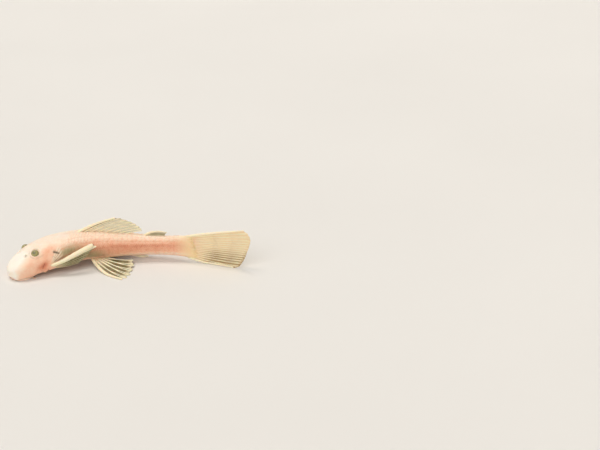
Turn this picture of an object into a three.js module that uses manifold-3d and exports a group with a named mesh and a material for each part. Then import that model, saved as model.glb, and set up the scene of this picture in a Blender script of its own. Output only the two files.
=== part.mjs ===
// A bristlenose pleco at life size: a small armoured sucker-mouthed catfish, resting.
// Millimetres, +Z up, the floor at z = 0. The head points to -X and the fish's left side to -Y.
// Body coordinates: u runs along the curved back from the snout, side is positive to the
// fish's left and z is the height above the floor.
import * as THREE from "three";
import Module from "manifold-3d";
import { mergeVertices } from "three/addons/utils/BufferGeometryUtils.js";

const wasm = await Module();
wasm.setup();

// Driving dimensions
const STANDARD_LENGTH = 88; // snout to the root of the tail fin
const REST_U = 11.5; // the rear lip of the mouth, where the origin lies
const GAP = 0.3; // clearance between neighbouring pieces
const HEAD_END = 16.5; // gill opening
const NAPE_LAG = 8; // how far the skull roof reaches back behind the gill opening
const TAIL_START = 60;
const SCUTE_PITCH = 2.25; // one plate per muscle segment
const SKULL_PLATES = [7.4, 10.6, 13.6, 16.35]; // borders of the plates on the head
const SKULL_RELIEF = 0.16;
const SCUTE_RELIEF = 0.3;
const SCUTE_CHEVRON = 0.8;
const ROW_EDGES = [90, 63, 38, 12, -16, -44]; // five rows of plates on each flank, degrees
const ACROSS = 3; // grid steps across one row of plates
const BELLY_STEPS = 6; // grid steps across the bare belly
const EYE = { u: 12.7, angle: 58, radius: 1.75, sink: 0.6, lid: 0.35, lidTube: 0.5, browTilt: 0.22 };
const NOSTRIL = { u: 8.2, angle: 72, hole: 0.42, ring: 0.78, rim: 0.38 };
const DISC = { u: 6.9, length: 5.7, width: 6.0, top: 1.0, steps: 28 };
const BRISTLES = { count: 6, u: 0.6, pitch: 1.15, angle: 30, long: 0.85 };
const CHEEK_SPINES = { count: 5, u: 12, pitch: 0.35, angle: -2 };
const WEB = 0.55; // thickness of a fin's membrane
const THINNEST = 0.42; // thickness that a fin keeps at its very edge
const TAIL_RAYS = 16;

const smooth = (a, b, x) => {
  const t = Math.min(1, Math.max(0, (x - a) / (b - a)));
  return t * t * (3 - 2 * t);
};
const mix = (a, b, t) => a + (b - a) * t;
const radians = (d) => (d * Math.PI) / 180;

// Monotone cubic curve through [x, y] knots
function curve(knots) {
  const n = knots.length;
  const h = [];
  const d = [];
  for (let i = 0; i < n - 1; i++) {
    h.push(knots[i + 1][0] - knots[i][0]);
    d.push((knots[i + 1][1] - knots[i][1]) / h[i]);
  }
  const m = [d[0]];
  for (let i = 1; i < n - 1; i++) {
    const a = 2 * h[i] + h[i - 1];
    const b = h[i] + 2 * h[i - 1];
    m.push(d[i - 1] * d[i] <= 0 ? 0 : (a + b) / (a / d[i - 1] + b / d[i]));
  }
  m.push(d[n - 2]);
  return (x) => {
    const c = Math.min(knots[n - 1][0], Math.max(knots[0][0], x));
    let i = 0;
    while (i < n - 2 && c > knots[i + 1][0]) i++;
    const t = (c - knots[i][0]) / h[i];
    const t2 = t * t;
    const t3 = t2 * t;
    return (2 * t3 - 3 * t2 + 1) * knots[i][1] + (t3 - 2 * t2 + t) * h[i] * m[i]
      + (3 * t2 - 2 * t3) * knots[i + 1][1] + (t3 - t2) * h[i] * m[i + 1];
  };
}

// Shape of the body along u: heading of the backbone in plan (degrees), then heights
const heading = curve([[0, 42], [8, 40], [20, 28], [34, 9], [46, -0.1], [84, -17.5], [112, -30]]);
const topLine = curve([[0, 5.0], [1.5, 6.9], [4, 8.9], [8, 10.8], [13, 12.6], [18, 13.9],
  [24, 14.8], [30, 15.2], [36, 15.4], [44, 15.0], [53, 14.05], [62, 13.1], [70, 12.4],
  [77, 12.3], [84, 12.9], [88, 13.3]]);
const bellyLine = curve([[0, 2.5], [1.5, 1.5], [4, 1.4], [8, 1.4], [14, 1.6], [20, 2.1],
  [28, 2.8], [37, 3.1], [46, 2.9], [53, 2.6], [60, 2.5], [70, 2.9], [77, 3.0], [84, 2.8],
  [88, 2.5]]);
const halfWidth = curve([[0, 0.6], [0.5, 2.3], [1.5, 4.1], [4, 6.3], [8, 8.2], [13, 9.5],
  [18, 10.4], [24, 10.7], [29, 10.3], [35, 9.2], [42, 7.6], [50, 6.1], [60, 4.6], [70, 3.4],
  [77, 2.7], [84, 2.0], [88, 1.5]]);
const widestAt = curve([[0, 0.4], [15, 0.31], [33, 0.35], [50, 0.42], [88, 0.5]]);

// The backbone in plan, stepped along u and moved so that the mouth's rear lip is the origin
const STEP = 0.25;
const plan = [];
for (let u = -4, x = 0, y = 0; u <= 126; u += STEP) {
  plan.push([x, y]);
  const a = radians(heading(u + STEP / 2));
  x += Math.cos(a) * STEP;
  y += Math.sin(a) * STEP;
}
function planAt(u) {
  const f = (u + 4) / STEP;
  const i = Math.min(plan.length - 2, Math.max(0, Math.floor(f)));
  const t = f - i;
  return [mix(plan[i][0], plan[i + 1][0], t), mix(plan[i][1], plan[i + 1][1], t)];
}
const zero = planAt(REST_U);
function at(u, side, z) {
  const [x, y] = planAt(u);
  const a = radians(heading(u));
  return new THREE.Vector3(x - zero[0] + side * Math.sin(a), y - zero[1] - side * Math.cos(a), z);
}

// A point of the body's cross-section: angle 90 is the back, 0 the left flank, -90 the belly.
// The exponents make it a rounded box, flattest under the head and trunk.
const BACK_FLAT = 2.3;
const BACK_LIFT = 1.9;
const BELLY_FLAT = 3.5;
const STALK_FLAT = 2.4;
function section(u, angle, out = 0) {
  const c = Math.cos(radians(angle));
  const s = Math.sin(radians(angle));
  const top = topLine(u);
  const low = bellyLine(u);
  const half = halfWidth(u);
  const mid = mix(low, top, widestAt(u));
  const rise = s > 0 ? top - mid : mid - low;
  const flat = s > 0 ? BACK_FLAT : mix(BELLY_FLAT, STALK_FLAT, smooth(48, 62, u));
  const lift = s > 0 ? BACK_LIFT : flat;
  const side = half * Math.sign(c) * Math.abs(c) ** (2 / flat);
  const z = mid + rise * Math.sign(s) * Math.abs(s) ** (2 / lift);
  const nx = c / half;
  const nz = s / rise;
  const n = Math.hypot(nx, nz);
  return { side: side + (out * nx) / n, z: z + (out * nz) / n };
}

// The skull roof and the plates behind it sweep back; v runs across one row of plates
const lagAt = (b, angle) => NAPE_LAG * Math.max(0, Math.sin(radians(angle))) ** 1.5
  * smooth(2, HEAD_END, b) * (1 - smooth(HEAD_END, 50, b));
const LAST_EDGE = ROW_EDGES[ROW_EDGES.length - 1];
const ring = [];
for (const side of [1, -1]) {
  const rows = [];
  for (let r = 0; r < ROW_EDGES.length - 1; r++) {
    for (let k = side > 0 ? 0 : 1; k < (side > 0 ? ACROSS : ACROSS + 1); k++) {
      const v = k / ACROSS;
      const a = mix(ROW_EDGES[r], ROW_EDGES[r + 1], v);
      rows.push({ angle: side > 0 ? a : 180 - a, row: r, v });
    }
  }
  ring.push(...(side > 0 ? rows : rows.reverse()));
  if (side > 0) {
    for (let k = 0; k < BELLY_STEPS; k++) {
      ring.push({ angle: mix(LAST_EDGE, -180 - LAST_EDGE, k / BELLY_STEPS), row: -1, v: 0 });
    }
  }
}

// Relief of the plates at b: how high they stand, how far back they point, and how far
// along its plate the place lies, from 0 at the front to 1 at the raised rear edge
function platesAt(b) {
  if (b > HEAD_END) {
    const fade = smooth(0, 2.5, Math.abs(b - TAIL_START)) * smooth(0, 4, b - HEAD_END)
      * (1 - smooth(84, 88, b));
    const f = ((b - HEAD_END) / SCUTE_PITCH) % 1;
    return { high: SCUTE_RELIEF * fade, back: SCUTE_CHEVRON * fade, f };
  }
  const k = SKULL_PLATES.filter((edge) => edge <= b).length;
  if (k === 0 || k === SKULL_PLATES.length) return { high: 0, back: 0, f: 0 };
  const f = (b - SKULL_PLATES[k - 1]) / (SKULL_PLATES[k] - SKULL_PLATES[k - 1]);
  return { high: SKULL_RELIEF, back: 0, f: k === SKULL_PLATES.length - 1 ? 1 - f : f };
}

function bodyRing(b, grow = 0) {
  const { high, back, f } = grow ? { high: 0, back: 0, f: 0 } : platesAt(b);
  return ring.map(({ angle, row, v }) => {
    const keel = row < 0 ? 0 : 1.5 * (1 - Math.abs(2 * v - 1));
    const u = b + lagAt(b, angle) + back * keel;
    const bare = row < 0 || (b < HEAD_END && row > 3);
    const relief = bare ? 0 : high * (f * (0.35 + 0.65 * keel) - 0.15 * (1 - keel));
    const p = section(u, angle, relief + grow);
    return at(u, p.side, Math.max(0, p.z));
  });
}

// A closed solid from rings of equally many points, each end closed by a fan
function loft(rings) {
  const n = rings[0].length;
  const points = rings.flat();
  const tris = [];
  for (let i = 0; i < rings.length - 1; i++) {
    for (let j = 0; j < n; j++) {
      const k = (j + 1) % n;
      const [a, b, c, d] = [i * n + j, i * n + k, (i + 1) * n + j, (i + 1) * n + k];
      tris.push([a, b, d], [a, d, c]);
    }
  }
  for (const [i, turn] of [[0, false], [rings.length - 1, true]]) {
    const centre = rings[i].reduce((p, q) => p.add(q), new THREE.Vector3()).divideScalar(n);
    points.push(centre);
    for (let j = 0; j < n; j++) {
      const t = [points.length - 1, i * n + ((j + 1) % n), i * n + j];
      tris.push(turn ? [t[0], t[2], t[1]] : t);
    }
  }
  return solid(points, tris);
}

function solid(points, tris) {
  let volume = 0;
  for (const [a, b, c] of tris) {
    volume += points[a].dot(new THREE.Vector3().crossVectors(points[b], points[c]));
  }
  const turned = volume < 0 ? tris.map(([a, b, c]) => [a, c, b]) : tris;
  return new wasm.Manifold(new wasm.Mesh({
    numProp: 3,
    vertProperties: new Float32Array(points.flatMap((p) => [p.x, p.y, p.z])),
    triVerts: new Uint32Array(turned.flat()),
  }));
}

function fromGeometry(geometry) {
  geometry.deleteAttribute("normal");
  geometry.deleteAttribute("uv");
  const merged = mergeVertices(geometry, 1e-5);
  const position = merged.attributes.position;
  const points = [];
  for (let i = 0; i < position.count; i++) {
    points.push(new THREE.Vector3().fromBufferAttribute(position, i));
  }
  const tris = [];
  for (let i = 0; i < merged.index.count; i += 3) {
    tris.push([merged.index.getX(i), merged.index.getX(i + 1), merged.index.getX(i + 2)]);
  }
  return solid(points, tris);
}

const largest = (body) => body.decompose().reduce((a, b) => (a.volume() > b.volume() ? a : b));

// A tapered spine along a list of points, its root sunk in what it grows from
function spine(points, rootRadius, tipRadius, sides = 5) {
  const rings = points.map((p, i) => {
    const next = points[Math.min(i + 1, points.length - 1)];
    const last = points[Math.max(i - 1, 0)];
    const way = next.clone().sub(last).normalize();
    const across = new THREE.Vector3(0, 0, 1).cross(way).normalize();
    const up = way.clone().cross(across);
    const r = mix(rootRadius, tipRadius, i / (points.length - 1));
    return Array.from({ length: sides }, (_, k) => {
      const a = (2 * Math.PI * k) / sides;
      return p.clone().addScaledVector(across, r * Math.cos(a)).addScaledVector(up, r * Math.sin(a));
    });
  });
  return loft(rings);
}

// A point and outward direction on the skin at a place of the head
function skinPoint(u, angle, out = 0) {
  const p = section(u, angle, out);
  const q = section(u, angle, out + 1);
  const point = at(u, p.side, p.z);
  return { point, normal: at(u, q.side, q.z).sub(point).normalize() };
}
function torusAt({ point, normal }, radius, tube, ringSteps, tubeSteps) {
  const torus = new THREE.TorusGeometry(radius, tube, tubeSteps, ringSteps);
  torus.applyQuaternion(new THREE.Quaternion().setFromUnitVectors(new THREE.Vector3(0, 0, 1), normal));
  torus.translate(point.x, point.y, point.z);
  return fromGeometry(torus);
}
function ballAt(point, radius, steps = 12) {
  const ball = new THREE.SphereGeometry(radius, steps, Math.round(steps * 0.7));
  ball.translate(point.x, point.y, point.z);
  return fromGeometry(ball);
}

// Head, trunk and tail stalk
const headStations = [0.1, 0.6, 1.5, 3, 4.5, 6];
for (let k = 0; k < SKULL_PLATES.length - 1; k++) {
  const [front, rear] = [SKULL_PLATES[k], SKULL_PLATES[k + 1]];
  headStations.push(front, mix(front, rear, 0.5), rear - 0.2);
}
headStations[headStations.length - 1] = HEAD_END - GAP / 2;
let head = loft(headStations.map((b) => bodyRing(b)));
function plateStations(from, to) {
  const list = [from];
  for (let k = 0; HEAD_END + k * SCUTE_PITCH < to; k++) {
    for (const part of [0.02, 0.88]) {
      const b = HEAD_END + (k + part) * SCUTE_PITCH;
      if (b > from + 0.3 && b < to - 0.3) list.push(b);
    }
  }
  return [...list, to];
}
const trunkStations = plateStations(HEAD_END + GAP / 2, TAIL_START - GAP / 2);
const tailStations = plateStations(TAIL_START + GAP / 2, STANDARD_LENGTH);
const trunk = loft(trunkStations.map((b) => bodyRing(b)));
const tail = loft(tailStations.map((b) => bodyRing(b)));
// The body grown by the gap and the plates' relief, which the fins are cut with
const BODY_CLEARANCE = GAP + 0.2;
const around = [];
for (let b = 0.1; b < STANDARD_LENGTH; b += 2.4) around.push(bodyRing(b, BODY_CLEARANCE));
around.push(bodyRing(STANDARD_LENGTH + GAP, BODY_CLEARANCE));
const clearance = loft(around);

const eyes = {};
for (const [name, mirror] of [["left", 1], ["right", -1]]) {
  const turn = (angle) => (mirror > 0 ? angle : 180 - angle);
  const centre = skinPoint(EYE.u, turn(EYE.angle), -EYE.sink).point;
  // The lid leans outward, so its inner side stands up as the brow
  const rim = skinPoint(EYE.u, turn(EYE.angle), 0.2);
  const outward = skinPoint(EYE.u, turn(0)).normal;
  rim.normal.addScaledVector(outward, EYE.browTilt).normalize();
  head = head.add(torusAt(rim, EYE.radius + EYE.lid, EYE.lidTube, 16, 5));
  head = head.subtract(ballAt(centre, EYE.radius + GAP, 14));
  eyes[name] = ballAt(centre, EYE.radius, 14);
  const nostril = skinPoint(NOSTRIL.u, turn(NOSTRIL.angle), 0.15);
  head = head.add(torusAt(nostril, NOSTRIL.ring, NOSTRIL.rim, 10, 5));
  head = head.subtract(ballAt(nostril.point, NOSTRIL.hole, 8));
  // Short bristles along the snout margin
  for (let k = 0; k < BRISTLES.count; k++) {
    const u = BRISTLES.u + BRISTLES.pitch * k;
    const long = BRISTLES.long - 0.05 * k;
    const a = turn(BRISTLES.angle - 3 * k);
    head = head.add(spine([-0.6, long].map((o) => skinPoint(u, a, o).point), 0.3, 0.12, 4));
  }
  // Hooked spines of the cheek
  for (let k = 0; k < CHEEK_SPINES.count; k++) {
    const u = CHEEK_SPINES.u + CHEEK_SPINES.pitch * k;
    const angle = turn(CHEEK_SPINES.angle - 7 * k);
    const steps = [[0, -0.5], [1.1, 0.55], [2.5, 0.55]];
    head = head.add(spine(steps.map(([du, out]) => skinPoint(u + du, angle, out).point), 0.3, 0.1, 4));
  }
}
head = largest(head);

// The sucker mouth: a flat disc of lip round a hollow, with a barbel at each corner
const discRing = ([scale, z]) => Array.from({ length: DISC.steps }, (_, k) => {
  const a = (2 * Math.PI * k) / DISC.steps;
  return at(DISC.u + DISC.length * scale * Math.cos(a), DISC.width * scale * Math.sin(a), z);
});
let oralDisc = loft([[0.9, DISC.top], [1, 0.62], [0.98, 0.2], [0.9, 0], [0.56, 0], [0.48, 0.3],
  [0.25, 0.42]].map(discRing));
for (const mirror of [1, -1]) {
  const path = [[7.5, 5.2, 0.55], [8.2, 6.6, 0.5], [9.3, 7.8, 0.42]];
  oralDisc = oralDisc.add(spine(path.map(([u, s, z]) => at(u, mirror * s, z)), 0.34, 0.14, 6));
}

// A fin: a curved sheet over s (across the rays) and t (out along them), its rays raised as ridges
function fin({ rays, steps, point, thickness, split = 3 }) {
  const across = (rays - 1) * split + 1;
  const mids = [];
  for (let i = 0; i < across; i++) {
    for (let j = 0; j <= steps; j++) mids.push(point(i / split, j / steps));
  }
  const id = (i, j) => i * (steps + 1) + j;
  const near = (i, n) => [Math.max(0, i - 1), Math.min(n, i + 1)];
  const faces = [[], []];
  for (let i = 0; i < across; i++) {
    for (let j = 0; j <= steps; j++) {
      const [i0, i1] = near(i, across - 1);
      const [j0, j1] = near(j, steps);
      const normal = mids[id(i1, j)].clone().sub(mids[id(i0, j)])
        .cross(mids[id(i, j1)].clone().sub(mids[id(i, j0)])).normalize();
      const half = thickness(i / split, j / steps) / 2;
      for (const [k, sign] of [[0, 1], [1, -1]]) {
        const p = mids[id(i, j)].clone().addScaledVector(normal, sign * half);
        p.z = Math.max(0, p.z);
        faces[k].push(p);
      }
    }
  }
  const count = mids.length;
  const tris = [];
  for (let i = 0; i < across - 1; i++) {
    for (let j = 0; j < steps; j++) {
      const [a, b, c, d] = [id(i, j), id(i + 1, j), id(i, j + 1), id(i + 1, j + 1)];
      tris.push([a, b, d], [a, d, c]);
      tris.push([count + a, count + d, count + b], [count + a, count + c, count + d]);
    }
  }
  const edge = [];
  for (let i = 0; i < across - 1; i++) edge.push([id(i, 0), id(i + 1, 0)]);
  for (let j = 0; j < steps; j++) edge.push([id(across - 1, j), id(across - 1, j + 1)]);
  for (let i = across - 1; i > 0; i--) edge.push([id(i, steps), id(i - 1, steps)]);
  for (let j = steps; j > 0; j--) edge.push([id(0, j), id(0, j - 1)]);
  for (const [a, b] of edge) tris.push([b, a, count + a], [b, count + a, count + b]);
  return solid([...faces[0], ...faces[1]], tris);
}
// Thickness of a fin: rays stand out of the membrane, the first one as a stout spine
const ridge = (s) => (Math.abs(s - Math.round(s)) < 0.01 ? 1 : 0);
const rayed = (first, ray, taper) => (s, t) => {
  const body = ridge(s) ? (s < 0.01 ? first : ray) : WEB;
  return Math.max(THINNEST, body * (1 - taper * t));
};
// The pectoral spine is stoutest toward its blunt tip
const armed = (first, ray, taper) => (s, t) => {
  if (s < 0.01) return first * mix(0.68, 1, smooth(0.05, 0.65, t)) * mix(1, 0.7, smooth(0.88, 1, t));
  return rayed(first, ray, taper)(s, t);
};
// A ray path from root over a middle point to the tip
function bend(root, middle, tip, t) {
  return root.map((r, k) => {
    const control = 2 * middle[k] - (r + tip[k]) / 2;
    return (1 - t) ** 2 * r + 2 * t * (1 - t) * control + t * t * tip[k];
  });
}
const table = (rows) => {
  const columns = rows[0].slice(1).map((_, k) => curve(rows.map((r) => [r[0], r[k + 1]])));
  return (s) => columns.map((c) => c(s));
};

// Dorsal fin, I,7: leaning back, half folded
const dorsalTip = table([[0, 54.4, 0.6, 21.6], [1, 56.9, 0.5, 21.4], [2, 59.6, 0.2, 20.3],
  [4, 63.8, -0.5, 17.9], [6, 66.4, -0.4, 15.6], [7, 66.7, 0, 14.6]]);
const dorsal = fin({
  rays: 8,
  steps: 6,
  point: (s, t) => {
    const u = 35 + 3.15 * s;
    const root = [u, 0, topLine(u) - 0.9];
    const tip = dorsalTip(s);
    const middle = [mix(u, tip[0], 0.48), tip[1] * 0.3, mix(root[2], tip[2], 0.55) + 0.2];
    return at(...bend(root, middle, tip, t));
  },
  thickness: rayed(1.5, 1.0, 0.35),
});

// Adipose fin: a stout spine laid back with a low membrane behind it
const adiposeTop = table([[0, 67.2, 12.4], [0.4, 71.6, 14.5], [0.75, 75.2, 15.0], [1, 78.4, 14.8]]);
const adipose = fin({
  rays: 2,
  steps: 6,
  split: 4,
  point: (s, t) => {
    const [u, z] = adiposeTop(t);
    const foot = mix(68.4, 79.3, t);
    return at(mix(u, foot, s), 0, mix(z, topLine(foot) - 0.7, s));
  },
  thickness: (s, t) => (s < 0.01 ? mix(1.3, 0.7, t) : WEB),
});

// Anal fin, i,4, under the tail stalk
const analTip = table([[0, 66.6, 1.1], [2, 68.3, 1.2], [4, 68.8, 1.9]]);
const anal = fin({
  rays: 5,
  steps: 4,
  point: (s, t) => {
    const u = 56.5 + 1.0 * s;
    const tip = analTip(s);
    const middle = [mix(u, tip[0], 0.45), 0, mix(bellyLine(u) + 0.8, tip[1], 0.55)];
    return at(...bend([u, 0, bellyLine(u) + 0.8], middle, [tip[0], 0, tip[1]], t));
  },
  thickness: rayed(1.1, 0.9, 0.35),
});

// Tail fin, i,14,i, its lower edge on the floor
const caudalTip = table([[0, 119, 19.9], [1, 121.3, 18.9], [3, 122.8, 15.8], [5, 122.0, 13.0],
  [8, 120.1, 9.2], [11, 118.2, 5.4], [13, 116.6, 2.8], [14, 115.2, 1.2], [15, 112, -0.3]]);
const caudal = fin({
  rays: TAIL_RAYS,
  steps: 7,
  point: (s, t) => {
    const down = s / (TAIL_RAYS - 1);
    const root = [STANDARD_LENGTH - 0.6, 0, mix(12.7, 2.9, down)];
    const tip = caudalTip(s);
    const fold = 0.55 * Math.sin(down * 2 * Math.PI) * t;
    const middle = [mix(root[0], tip[0], 0.5), 0, mix(root[2], tip[1], 0.5) - 1.2 * down ** 2];
    const p = bend(root, middle, [tip[0], 0, tip[1]], t);
    return at(p[0], fold, p[2]);
  },
  thickness: (s, t) => {
    const flesh = 1.5 * (1 - smooth(0, 0.3, t));
    const outer = s < 0.01 || s > TAIL_RAYS - 1.01;
    const body = ridge(s) ? (outer ? 1.5 : 0.95) : WEB;
    return Math.max(THINNEST, body * (1 - 0.4 * t) + flesh);
  },
});

// Paired fins: each ray goes from root over middle to tip, given as u, side, z
const pectoralRoot = table([[0, 16.9, 9.6, 5.0], [6, 20.2, 9.3, 3.4]]);
const pectoralMiddle = table([[0, 30.4, 12.9, 8.7], [3, 29.6, 12.7, 6.3], [6, 27.8, 12.0, 4.1]]);
const pectoralTip = table([[0, 44.4, 8.7, 12.2], [1, 44.3, 9.0, 11.0], [2, 43.2, 9.4, 9.8],
  [4, 39.6, 10.5, 6.9], [6, 35.4, 11.4, 4.6]]);
const pelvicRoot = table([[0, 41.8, 4.4, 3.5], [5, 46.2, 3.4, 3.3]]);
const pelvicMiddle = table([[0, 49.2, 16.0, 0.95], [2.5, 53.6, 11.0, 1.1], [5, 54.6, 5.0, 1.6]]);
const pelvicTip = table([[0, 60.6, 22.6, 0.1], [1, 62.9, 20.8, 0.1], [2, 63.8, 17.7, 0.12],
  [3, 63.9, 13.7, 0.2], [4, 63.6, 9.7, 0.45], [5, 62.2, 6.2, 0.9]]);
function pairedFin(rays, [root, middle, tip], mirror, thickness) {
  return fin({
    rays,
    steps: 7,
    point: (s, t) => {
      const [u, side, z] = bend(root(s), middle(s), tip(s), t);
      return at(u, mirror * side, z);
    },
    thickness,
  });
}

const group = new THREE.Group();
function piece(name, body, color, roughness) {
  const mesh = body.getMesh();
  const geometry = new THREE.BufferGeometry();
  geometry.setAttribute("position", new THREE.BufferAttribute(new Float32Array(mesh.vertProperties), 3));
  geometry.setIndex(new THREE.BufferAttribute(new Uint32Array(mesh.triVerts), 1));
  geometry.computeVertexNormals();
  const material = new THREE.MeshStandardMaterial({ color, roughness, metalness: 0 });
  const node = new THREE.Mesh(geometry, material);
  node.name = name;
  group.add(node);
}
const SKIN = 0xf3d9c4;
const LIP = 0xf0c4b0;
const FIN = 0xe9dfb8;
const IRIS = 0x8f9a80;
const trimmed = (body) => largest(body.subtract(clearance));

piece("head", head, SKIN, 0.45);
piece("trunk", trunk, SKIN, 0.45);
piece("tail", tail, SKIN, 0.45);
piece("oral_disc", oralDisc, LIP, 0.5);
piece("eye_left", eyes.left, IRIS, 0.15);
piece("eye_right", eyes.right, IRIS, 0.15);
piece("dorsal_fin", trimmed(dorsal), FIN, 0.5);
piece("adipose_fin", trimmed(adipose), FIN, 0.5);
piece("anal_fin", trimmed(anal), FIN, 0.5);
piece("caudal_fin", trimmed(caudal), FIN, 0.5);
for (const [name, mirror] of [["left", 1], ["right", -1]]) {
  const arm = pairedFin(7, [pectoralRoot, pectoralMiddle, pectoralTip], mirror, armed(2.3, 0.95, 0.3));
  const hip = pairedFin(6, [pelvicRoot, pelvicMiddle, pelvicTip], mirror, rayed(1.6, 1.05, 0.35));
  piece(`pectoral_fin_${name}`, trimmed(arm), FIN, 0.5);
  piece(`pelvic_fin_${name}`, trimmed(hip), FIN, 0.5);
}

export default group;
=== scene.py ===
# %% [markdown]
# # A bristlenose pleco
# This lesson dresses a life-size model of a bristlenose pleco, a small sucker-mouthed catfish.
# Its solids come packed in a fixed frame: head to -X, the fish's left side to -Y, +Z up, and
# the floor at z = 0. Each step says what a piece is on the living fish and how Blender makes it.

import bmesh
import bpy
import numpy as np
from mathutils import Matrix, Vector


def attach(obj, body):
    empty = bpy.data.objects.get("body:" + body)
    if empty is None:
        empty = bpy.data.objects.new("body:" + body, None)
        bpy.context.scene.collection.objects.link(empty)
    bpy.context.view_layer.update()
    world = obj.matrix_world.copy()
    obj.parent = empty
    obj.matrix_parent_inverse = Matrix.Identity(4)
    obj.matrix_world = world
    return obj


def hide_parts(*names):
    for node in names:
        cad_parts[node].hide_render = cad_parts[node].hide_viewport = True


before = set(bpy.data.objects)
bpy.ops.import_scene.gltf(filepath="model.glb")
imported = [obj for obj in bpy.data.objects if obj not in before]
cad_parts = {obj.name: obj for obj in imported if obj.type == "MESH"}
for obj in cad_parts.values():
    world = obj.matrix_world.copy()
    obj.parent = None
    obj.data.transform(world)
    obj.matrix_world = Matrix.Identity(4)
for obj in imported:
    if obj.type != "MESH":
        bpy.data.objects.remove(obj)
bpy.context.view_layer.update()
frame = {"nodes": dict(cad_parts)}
MM = 0.001


def into_scene(name, data):
    """A new object in the scene for a mesh, a lamp or a camera."""
    obj = bpy.data.objects.new(name, data)
    bpy.context.scene.collection.objects.link(obj)
    return obj


print("solids:", ", ".join(frame["nodes"]))

# %% [markdown]
# ## The view
# A long lens from about six fish lengths away keeps the fish nearly free of perspective. The
# camera looks along +Y, tipped down by its elevation and rolled a little.

# %% Camera
VIEW_ELEVATION = 23.564
VIEW_ROLL = -3.3
VIEW_DISTANCE = 0.6977
VIEW_AIM = Vector((0.12735, -0.00065, 0.01674))
LENS_MM = 90
tip, lean = np.radians(VIEW_ELEVATION), np.radians(VIEW_ROLL)
back = Vector((0, -np.cos(tip), np.sin(tip)))
level = Vector((1, 0, 0))
right = level * np.cos(lean) + back.cross(level) * np.sin(lean)
turn = Matrix((right, back.cross(right), back)).transposed().to_4x4()
lens = bpy.data.cameras.new("view")
lens.lens = LENS_MM
lens.sensor_width = 36
lens.clip_start = 0.01
camera = into_scene("view", lens)
camera.matrix_world = Matrix.Translation(VIEW_AIM + back * VIEW_DISTANCE) @ turn
bpy.context.scene.camera = camera
print("camera at", [round(c, 3) for c in camera.matrix_world.translation])

# %% [markdown]
# ## The shape of the body
# A fish is easy to describe along its backbone. Here u is the distance from the snout in
# millimetres, side is positive to the fish's left, and z is the height. Smooth curves through a
# few measured sizes give the back, the belly, the half width and the bend of the backbone, and
# one function turns body coordinates into places in the scene.

# %% Curves through measured sizes
def curve(knots):
    """Smooth curve through (x, y) knots that never overshoots them."""
    x, y = np.array(knots, float).T
    h = np.diff(x)
    d = np.diff(y) / h
    m = np.concatenate([d[:1], np.zeros(len(x) - 2), d[-1:]])
    for i in range(1, len(x) - 1):
        if d[i - 1] * d[i] > 0:
            a, b = 2 * h[i] + h[i - 1], h[i] + 2 * h[i - 1]
            m[i] = (a + b) / (a / d[i - 1] + b / d[i])

    def value(v):
        c = np.clip(v, x[0], x[-1])
        i = np.clip(np.searchsorted(x, c, side="right") - 1, 0, len(x) - 2)
        t = (c - x[i]) / h[i]
        return ((2 * t**3 - 3 * t**2 + 1) * y[i] + (t**3 - 2 * t**2 + t) * h[i] * m[i]
                + (3 * t**2 - 2 * t**3) * y[i + 1] + (t**3 - t**2) * h[i] * m[i + 1])
    return value


def smooth(a, b, x):
    """0 before a, 1 beyond b, with soft ends; it falls where b is the smaller."""
    t = np.clip((x - a) / (b - a), 0, 1)
    return t * t * (3 - 2 * t)


def band(x, a, b, c, d):
    """Rises from 0 to 1 between a and b, and falls back between c and d."""
    return smooth(a, b, x) * smooth(d, c, x)


def unit(v):
    return v / (np.linalg.norm(v, axis=-1, keepdims=True) + 1e-12)


def bump(x, centre, width):
    return np.exp(-(((x - centre) / width) ** 2))


def mix(a, b, t):
    return a + (b - a) * t


def full_turn(count):
    return np.linspace(0, 2 * np.pi, count, endpoint=False)


STANDARD_LENGTH = 88
HEAD_END = 16.5
NAPE_LAG = 8
SCUTE_PITCH = 2.25
SCUTE_CHEVRON = 0.8
ROW_EDGES = (90, 63, 38, 12, -16, -44)
SKULL_PLATES = (7.4, 10.6, 13.6)
EYE = {"u": 12.6, "angle": 61.5, "radius": 2.08, "sink": 0.98}
NOSTRIL = {"u": 8.2, "angle": 72}
REST_U = 11.5
SIDES = {"left": 1, "right": -1}

heading = curve([(0, 42), (8, 40), (20, 28), (34, 9), (46, -0.1), (84, -17.5), (112, -30)])
top_line = curve([(0, 5.0), (1.5, 6.9), (4, 8.9), (8, 10.8), (13, 12.6), (18, 13.9), (24, 14.8),
                  (30, 15.2), (36, 15.4), (44, 15.0), (53, 14.05), (62, 13.1), (70, 12.4),
                  (77, 12.3), (84, 12.9), (88, 13.3)])
belly_line = curve([(0, 2.5), (1.5, 1.5), (4, 1.4), (8, 1.4), (14, 1.6), (20, 2.1), (28, 2.8),
                    (37, 3.1), (46, 2.9), (53, 2.6), (60, 2.5), (70, 2.9), (77, 3.0), (84, 2.8),
                    (88, 2.5)])
half_width = curve([(0, 0.6), (0.5, 2.3), (1.5, 4.1), (4, 6.3), (8, 8.2), (13, 9.5), (18, 10.4),
                    (24, 10.7), (29, 10.3), (35, 9.2), (42, 7.6), (50, 6.1), (60, 4.6),
                    (70, 3.4), (77, 2.7), (84, 2.0), (88, 1.5)])
widest_at = curve([(0, 0.4), (15, 0.31), (33, 0.35), (50, 0.42), (88, 0.5)])

steps = np.arange(-4, 126.01, 0.25)
headings = np.radians(heading(steps + 0.125))
plan_x = np.concatenate([[0], np.cumsum(np.cos(headings) * 0.25)])[:-1]
plan_y = np.concatenate([[0], np.cumsum(np.sin(headings) * 0.25)])[:-1]
plan_x -= np.interp(REST_U, steps, plan_x)
plan_y -= np.interp(REST_U, steps, plan_y)


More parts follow.
